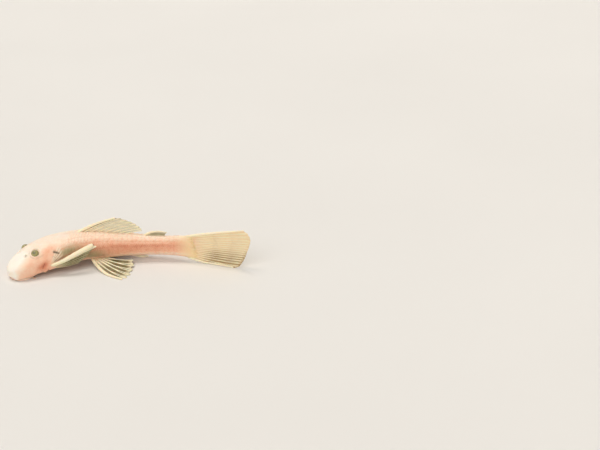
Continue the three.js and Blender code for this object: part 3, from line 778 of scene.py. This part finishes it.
# %% The two trees
TOOTH = {"Spacing": 0.00042, "Tooth Length": 0.0004, "Tooth Width": 0.00007, "Lowest Tooth": 0.0006,
         "Seed": 7}
tree, start, end = new_tree("toothed rods along paths", {"Sides": 8, **TOOTH})
paths = put(tree, "GeometryNodeMeshToCurve", {"Mesh": start["Geometry"]})
circle = put(tree, "GeometryNodeCurvePrimitiveCircle", {"Resolution": start["Sides"], "Radius": 1.0})
sweep = put(tree, "GeometryNodeCurveToMesh", {
    "Curve": paths["Curve"], "Profile Curve": circle["Curve"], "Scale": named(tree, "thickness"),
    "Fill Caps": True})
soft = put(tree, "GeometryNodeSetShadeSmooth", {"Geometry": sweep["Mesh"]})["Geometry"]
teeth = sprinkle_teeth(tree, start, soft)
both = put(tree, "GeometryNodeJoinGeometry", {"Geometry": teeth})["Geometry"]
fill(tree, both.node, {"Geometry": soft})
sweep_rods = end_tree(tree, end, both, ray_material)

tree, start, end = new_tree("teeth on plates", TOOTH)
grow_teeth = end_tree(tree, end, sprinkle_teeth(tree, start, start["Geometry"]), skin)
print("trees:", len(sweep_rods.nodes), "and", len(grow_teeth.nodes), "nodes")


# %% Run a tree and keep plain meshes
def grow(name, source, tree, **numbers):
    """Run a tree on an object and keep the result as a mesh of its own."""
    modifier = source.modifiers.new("grow", "NODES")
    modifier.node_group = tree
    for item in tree.interface.items_tree:
        label = item.name.replace(" ", "_")
        if item.in_out == "INPUT" and label in numbers:
            modifier[item.identifier] = numbers[label]
    graph = bpy.context.evaluated_depsgraph_get()
    mesh = bpy.data.meshes.new_from_object(source.evaluated_get(graph))
    mesh.name = name
    source.modifiers.remove(modifier)
    return into_scene(name, mesh)


def rods(name, paths, **numbers):
    """Tapered rods along paths; each path has its line in metres and its numbers per point."""
    lines = [path["line"] for path in paths]
    starts = np.cumsum([0, *map(len, lines)])
    edges = [(i, i + 1) for first, after in zip(starts, starts[1:]) for i in range(first, after - 1)]
    marks = {"lean": np.concatenate([unit(np.gradient(line, axis=0)) for line in lines])}
    for key in ("thickness", "out", "spiny", "flesh", "ray_shade", "rosy"):
        values = [np.broadcast_to(path.get(key, 0), len(path["line"])) for path in paths]
        marks[key] = np.concatenate(values)
    wires = mesh_object(name + " paths", np.concatenate(lines), [], marks, edges)
    swept = grow(name, wires, sweep_rods, **numbers)
    bpy.data.meshes.remove(wires.data)
    return swept


teeth = grow("skin_teeth", body, grow_teeth, Spacing=0.00027, Tooth_Length=0.00028, Tooth_Width=0.000045)
finish_piece(teeth, skin, "skin", "head", "trunk", "tail")

# %% [markdown]
# ## How a fin is built
# Each fin is one function that turns two numbers into a place: s counts across the rays and t
# runs out along them. The membrane is a thin closed sheet over that function, sagging a little
# between rays and notched at the edge. The rays are paths on it; soft rays fork twice toward
# the tip, while the first ray is a stout spine.


# %% Paths of a ray
def bend(root, middle, tip, t):
    """A ray's path from its root past a middle point to its tip, in body coordinates."""
    return [(1 - t) ** 2 * r + 2 * t * (1 - t) * (2 * m - (r + p) / 2) + t * t * p
            for r, m, p in zip(root, middle, tip)]


def table(rows):
    """Smooth curves of every column against the first."""
    columns = [curve([(row[0], row[k]) for row in rows]) for k in range(1, len(rows[0]))]
    return lambda s: [column(s) for column in columns]


def arc(line):
    return np.concatenate([[0], np.cumsum(np.linalg.norm(np.diff(line, axis=0), axis=1))]) / MM


FORKS = ((0.0, -1, -1), (0.7, -1, 1), (0.42, 1, 1), (0.7, 1, -1))
SPINE_STEPS = 40
RAY_STEPS = 36


def spine_path(point, s, radius, begin=0.0, stop=1.0, swell=False, taper=0.5):
    """A stout spine with teeth all along; one that swells is stoutest near its blunt tip."""
    t = np.linspace(begin, stop, SPINE_STEPS)
    line = at(*point(s + 0 * t, t))
    root = mix(0.55, 1, smooth(begin, begin + 0.06, t))
    if swell:
        r = radius * root * (0.52 + 0.48 * smooth(0.05, 0.75, t)) * (1 - 0.25 * smooth(0.9, 1, t))
    else:
        r = radius * root * (1 - taper * np.clip(t, 0, 1) ** 1.5)
    return {"line": line, "thickness": r * MM, "out": arc(line), "spiny": smooth(0.06, 0.2, t),
            "flesh": 0.4 * smooth(0.12, 0, t)}


def soft_ray_paths(point, i, last, radius, flesh, ray_shade):
    """A soft ray's stem and three forks, each thinner than the one before."""
    paths = []
    for k, (begin, first, second) in enumerate(FORKS):
        stop = 1 - 0.016 * ((5 * i + 3 * k) % 4)
        t = np.linspace(begin, stop, max(8, int(RAY_STEPS * (1 - begin))))
        s = i + 0.15 * first * smooth(0.42, 0.8, t) + 0.085 * second * smooth(0.7, 1.0, t)
        line = at(*point(np.clip(s, 0, last), t))
        thin = mix(1, 0.64, smooth(0.4, 0.56, t)) * mix(1, 0.7, smooth(0.68, 0.82, t))
        r = radius * (1 - 0.25 * t) * thin
        paths.append({"line": line, "thickness": r * MM, "out": arc(line) + 20 * begin,
                      "flesh": flesh * smooth(0.34, 0, t), "ray_shade": ray_shade})
    return paths


# %% Membrane sheets
MEMBRANE_THICKNESS = 0.14
MEMBRANE_ROWS = 44


def sheet(name, point, rays, thin, sag=0.1, notch=0.035, fine=8):
    """A thin closed membrane; thin(s, t) says how much painted shade it takes, for the dark seen through
    it.
    """
    across = np.linspace(0, rays - 1, (rays - 1) * fine + 1)
    s, t = np.meshgrid(across, np.linspace(0, 1, MEMBRANE_ROWS), indexing="ij")
    between = 0.5 - 0.5 * np.cos(2 * np.pi * s)
    mid = at(*point(s, t * (1 - notch * between)))
    normal = unit(np.cross(np.gradient(mid, axis=0), np.gradient(mid, axis=1)))
    mid = mid + normal * (sag * MM * between * np.sin(np.pi * np.minimum(t * 1.3, 1)))[..., None]
    half = (MEMBRANE_THICKNESS / 2 * (1 - 0.5 * t) * MM)[..., None]
    points = np.stack([mid + normal * half, mid - normal * half])
    points[..., 2] = np.maximum(points[..., 2], 0.02 * MM)
    top = grid_faces(*s.shape, closed=False)
    index = np.arange(s.size).reshape(s.shape)
    rim = np.concatenate([index[0], index[1:, -1], index[-1, -2::-1], index[-2:0:-1, 0]])
    after = np.roll(rim, -1)
    walls = np.stack([after, rim, rim + s.size, after + s.size], -1)
    root = 0.85 * smooth(0.42, 0.04, t)
    marks = {"root": np.tile(root.ravel(), 2), "thin": np.tile(thin(s, t).ravel(), 2)}
    return mesh_object(name, points, np.concatenate([top, top[:, ::-1] + s.size, walls]), marks)


def make_fin(node, point, rays, thin, radius, spines, flesh=0.0, ray_shade=0.0, skin_of_fin=clear_membrane,
             **web):
    """One fin's membrane and its rays; spines gives the stout ones as {ray: settings}."""
    name = node.replace("_fin", "")
    membrane = sheet(f"{name}_membrane", point, rays, thin, **web)
    paths = []
    for i in range(rays):
        if i in spines:
            paths.append(spine_path(point, i, **spines[i]))
        else:
            paths += soft_ray_paths(point, i, rays - 1, radius, flesh, ray_shade)
    for path in paths:
        path["line"][:, 2] = np.maximum(path["line"][:, 2], path["thickness"])
    finish_piece(membrane, skin_of_fin, "fin", node)
    finish_piece(rods(f"{name}_rays", paths), ray_material, "fin", node)


# %% [markdown]
# ### Dorsal, adipose, anal and tail fin
# The dorsal fin has one spine and seven branched rays and leans back, half folded. Behind it a
# short stout spine with a scrap of membrane is the adipose fin. The tail fin's outer rays are
# the stoutest, and its lower corner just touches the floor.

# %% Places on the fins of the midline
dorsal_tip = table([(0, 54.4, 0.6, 21.6), (1, 56.9, 0.5, 21.4), (2, 59.6, 0.2, 20.3),
                    (4, 63.8, -0.5, 17.9), (6, 66.4, -0.4, 15.6), (7, 66.7, 0, 14.6)])
adipose_top = table([(0, 67.2, 12.4), (0.4, 71.4, 14.2), (0.75, 75.2, 14.7), (1, 79.0, 14.4)])
anal_tip = table([(0, 66.6, 0, 1.1), (2, 68.3, 0, 1.2), (4, 68.8, 0, 1.9)])
caudal_tip = table([(0, 119, 0, 19.9), (1, 121.3, 0, 18.9), (3, 122.8, 0, 15.8), (5, 122.0, 0, 13.0),
                    (8, 120.1, 0, 9.2), (11, 118.2, 0, 5.4), (13, 116.6, 0, 2.8),
                    (14, 115.2, 0, 1.2), (15, 112, 0, -0.3)])


def midline_ray(u, foot, tip, t, ahead, up, lift):
    """A ray whose middle lies a share ahead of and up from its root, raised by lift."""
    middle = [mix(u, tip[0], ahead), tip[1] * 0.3, mix(foot, tip[2], up) + lift]
    return bend([u, 0, foot], middle, tip, t)


def dorsal_point(s, t):
    u = 35 + 3.15 * s
    return midline_ray(u, top_line(u) - 0.9, dorsal_tip(s), t, 0.48, 0.55, 0.2)


def adipose_point(s, t):
    u, z = adipose_top(t)
    foot = mix(68.4, 77.2, t)
    return [mix(u, foot, s), 0, mix(z, top_line(foot) - 0.7, s)]


def anal_point(s, t):
    u = 56.5 + s
    return midline_ray(u, belly_line(u) + 0.8, anal_tip(s), t, 0.45, 0.55, 0)


def caudal_point(s, t):
    low = s / (TAIL_RAYS - 1)
    foot = mix(12.7, 2.9, low)
    u, _, z = midline_ray(STANDARD_LENGTH - 0.6, foot, caudal_tip(s), t, 0.5, 0.5, -1.2 * low**2)
    return [u, TAIL_WAVE * np.sin(low * 2 * np.pi) * t, z]


# %% Fins of the midline
def even(tone, edge=0.6):
    """The same painted shade all over a membrane but for a paler edge."""
    return lambda s, t: tone * (1 - edge * smooth(0.84, 1, t))


# Each fin's thin function sets how much painted shade its membrane takes; the tail fin's lower half takes
# the most.
make_fin("dorsal_fin", dorsal_point, 8, lambda s, t: 0.2 + 0.72 * bump(s, 0.7, 0.42) * smooth(0.05, 0.3, t),
         0.34, {0: {"radius": 0.74}}, flesh=0.15, notch=0.022)
make_fin("adipose_fin", adipose_point, 2, lambda s, t: 0.08 + 0.7 * bump(s, 0.42, 0.28),
         0.05, {0: {"radius": 0.52, "taper": 0.75}}, notch=0.03, sag=0.0, skin_of_fin=olive_membrane)
make_fin("anal_fin", anal_point, 5, even(0.4), 0.26, {0: {"radius": 0.42}})
make_fin("caudal_fin", caudal_point, TAIL_RAYS,
         lambda s, t: 0.04 + 0.7 * smooth(6, 11.5, s) * smooth(0.12, 0.5, t),
         0.27, {0: {"radius": 0.62}, TAIL_RAYS - 1: {"radius": 0.58}}, flesh=0.8, ray_shade=0.03, fine=6,
         notch=0.008, skin_of_fin=cloudy_membrane)

# %% [markdown]
# ### Paired fins
# Each pectoral fin is folded back along the flank behind its heavy spine, which a male uses in
# fights. The pelvic fins are spread and rest on the floor. The right side mirrors the left in
# body coordinates.

# %% Fins in pairs
pectoral_root = table([(0, 16.9, 9.6, 5.0), (6, 20.2, 9.3, 3.4)])
pectoral_middle = table([(0, 30.4, 12.9, 8.7), (3, 29.6, 12.7, 6.3), (6, 27.8, 12.0, 4.1)])
pectoral_tip = table([(0, 44.4, 8.7, 12.2), (1, 45.2, 8.9, 11.2), (2, 43.2, 9.4, 9.8),
                      (4, 39.6, 10.5, 6.9), (6, 35.4, 11.4, 4.6)])
pelvic_root = table([(0, 41.8, 4.4, 3.5), (5, 46.2, 3.4, 3.3)])
pelvic_middle = table([(0, 49.2, 16.0, 0.95), (2.5, 53.6, 11.0, 1.1), (5, 54.6, 4.7, 2.0)])
pelvic_tip = table([(0, 60.6, 22.6, 0.1), (1, 62.9, 20.8, 0.1), (2, 63.8, 17.7, 0.12),
                    (3, 63.9, 13.2, 0.45), (4, 63.6, 8.8, 1.15), (5, 62.3, 5.0, 2.1)])


def paired(root, middle, tip, mirror, tuck):
    """A fin on one side; tuck draws the very root into the body."""
    def point(s, t):
        u, side, z = bend(root(s), middle(s), tip(s), t)
        return [u, mirror * (side - tuck * smooth(0.08, -0.04, t)), z]
    return point


PECTORAL_SPINES = {0: {"radius": 1.18, "begin": -0.04, "stop": 0.97, "swell": True},
                   1: {"radius": 0.5, "taper": 0.2}}
for side_name, mirror in SIDES.items():
    arm = paired(pectoral_root, pectoral_middle, pectoral_tip, mirror, 0.9)
    # The pectoral membrane and rays are painted olive shade, as the fin lies in shade against the flank.
    make_fin(f"pectoral_fin_{side_name}", arm, 7, even(1.0, 0.15), 0.22, PECTORAL_SPINES,
             flesh=0.3, ray_shade=0.8, skin_of_fin=olive_membrane)
    hip = paired(pelvic_root, pelvic_middle, pelvic_tip, mirror, 0.6)
    make_fin(f"pelvic_fin_{side_name}", hip, 6, even(0.92), 0.42, {0: {"radius": 0.8}},
             flesh=0.15, notch=0.06, skin_of_fin=olive_membrane)

# %% [markdown]
# ## Sucker mouth
# The mouth is a round soft disc under the snout, the upper lip narrow and the lower one broad
# and velvety, with a short barbel at each corner and rows of comb-like teeth inside. It is a
# ring of lip lofted from a few scaled outlines, flat where it rests, and it reaches up inside
# the head so that no gap shows.

# %% Lip material and mouth disc
DISC = {"u": 6.9, "length": 5.7, "width": 6.0}
DISC_POINTS = 120
LIP_PINK = (0.90, 0.60, 0.46)
LIP_CREAM = (0.95, 0.79, 0.64)
DISC_PROFILE = [(0.05, 1.0), (0.2, 0.95), (0.36, 0.7), (0.46, 0.35), (0.56, 0.04), (0.62, 0.0), (0.9, 0.0),
                (0.96, 0.06), (0.99, 0.26), (0.97, 0.55), (0.92, 0.9), (0.86, 1.4), (0.78, 2.0), (0.3, 2.3)]
recipe = Recipe("soft lip")
patches = recipe.sums("ADD", recipe.stretch(recipe.noise(700.0), 0.6, -0.3), "outer")
lip_material = recipe.finish(
    Base_Color=recipe.ramp(patches, [(0.2, LIP_PINK), (0.9, LIP_CREAM)]),
    Normal=recipe.relief(recipe.cells(2400.0), 0.0001, 0.8), Roughness=0.4,
    Subsurface_Weight=0.3, Subsurface_Scale=0.0012, Coat_Weight=0.3, Coat_Roughness=0.15)
turns = full_turn(DISC_POINTS)
disc_rings = []
for k, height in DISC_PROFILE:
    wave = 1 + 0.015 * smooth(0.8, 1, k) * np.sin(14 * turns)
    disc_rings.append(at(DISC["u"] + DISC["length"] * k * wave * np.cos(turns),
                         DISC["width"] * k * wave * np.sin(turns), height))
outer = np.repeat([0.0 if height < 0.3 else 0.7 for _, height in DISC_PROFILE], DISC_POINTS)
disc = mesh_object("mouth_disc", disc_rings, grid_faces(len(DISC_PROFILE), DISC_POINTS), {"outer": outer})
face_outward(disc, DISC_POINTS)
finish_piece(disc, lip_material, "lip", "oral_disc")

# %% Barbels, jaw teeth and bristles
def rod(root, middle, tip, radius, taper=0.6, steps=9, **numbers):
    """A short tapered rod bent through three places in body coordinates."""
    t = np.linspace(0, 1, steps)
    line = at(*bend(root, middle, tip, t))
    return {"line": line, "thickness": radius * (1 - taper * t) * MM, "out": arc(line), **numbers}


barbels, jaws, bristles = [], [], []
for mirror in SIDES.values():
    barbels.append(rod((7.5, mirror * 4.6, 0.6), (8.2, mirror * 6.2, 0.5), (9.3, mirror * 7.8, 0.42), 0.34))
    for row_u, bow in ((5.6, -0.5), (8.1, 0.5)):
        for k in range(9):
            side = mirror * (0.35 + 0.2 * k)
            u = row_u + bow * (k / 8) ** 2
            jaws.append(rod((u, side, 0.85), (u, side, 0.5), (u - 0.12 * bow, side, 0.22), 0.07, steps=4))
    for k in range(6):
        u = 0.6 + 1.15 * k + 0.25 * np.sin(7 * k)
        angle = side_angle(30 - 3 * k + 4 * np.sin(5 * k), mirror)
        root, tip = (section(np.float64(u), angle, out) for out in (-0.3, 0.85 - 0.05 * k))
        halfway = (u - 0.03, *mix(np.array(root), np.array(tip), 0.5))
        bristles.append(rod((u, *root), halfway, (u - 0.1, *tip), 0.12, 0.7, rosy=0.12))
    for k in range(5):
        u, angle = 12.0 + 0.35 * k, side_angle(-2 - 7 * k, mirror)
        way = [(u + ahead, *section(np.float64(u + ahead), angle, out))
               for ahead, out in ((0, -0.5), (1.0, 0.4), (2.1, 0.42))]
        bristles.append(rod(*way, 0.12, 0.75, rosy=0.5))
finish_piece(rods("barbels", barbels), lip_material, "lip", "oral_disc")
finish_piece(rods("jaw_teeth", jaws, Sides=6), ray_material, "lip", "oral_disc")
finish_piece(rods("bristles", bristles), skin, "skin", "head")

# %% [markdown]
# ## Floor and light
# The model stands on a plain pale floor. A flat sheet would show its far edge in low views, so
# the floor is a wide disc whose rim sweeps up all round. Two very soft sun lamps, one high and
# one from the viewer's side, light all of it evenly, where area lamps would leave a hot spot.

# %% A floor that curves up into its own backdrop
FLOOR_FLAT = 1.3
FLOOR_RISE = 1.2
FLOOR_POINTS = 96
bend_angles = np.linspace(0, np.pi / 2, 16)
radii = np.concatenate([[0.02, 0.4, 0.9], FLOOR_FLAT + FLOOR_RISE * np.sin(bend_angles)])
heights = np.concatenate([[0, 0, 0], FLOOR_RISE * (1 - np.cos(bend_angles))])
turns = full_turn(FLOOR_POINTS)
rings = [np.stack([r * np.cos(turns), r * np.sin(turns), 0 * turns + h], -1)
         for r, h in zip(radii, heights)]
middle = list(range(FLOOR_POINTS))[::-1]
floor = mesh_object("floor", rings, [*grid_faces(len(radii), FLOOR_POINTS).tolist(), middle])
recipe = Recipe("pale floor")
shade = recipe.ramp(recipe.noise(6.0, 2.0), [(0.3, (0.78, 0.76, 0.73)), (0.7, (0.80, 0.78, 0.75))])
floor.data.materials.append(recipe.finish(Base_Color=shade, Roughness=0.85))


# %% Soft light
def soft_sun(name, toward, strength, spread, colour):
    """A wide soft light that falls evenly over the whole floor; toward is the way it shines."""
    lamp = bpy.data.lights.new(name, "SUN")
    lamp.energy = strength
    lamp.angle = np.radians(spread)
    lamp.color = colour
    into_scene(name, lamp).rotation_euler = Vector(toward).to_track_quat("-Z", "Y").to_euler()


soft_sun("overhead", (0.22, -0.12, -1.0), 1.35, 28, (1.0, 0.96, 0.90))
soft_sun("front", (0.25, 0.85, -0.5), 1.66, 60, (1.0, 0.97, 0.93))
world = bpy.data.worlds.new("studio")
world.use_nodes = True
fill(world.node_tree, world.node_tree.nodes["Background"],
     {"Color": (0.97, 0.96, 0.94, 1), "Strength": 0.41})
bpy.context.scene.world = world
bpy.context.scene.view_settings.view_transform = "Standard"
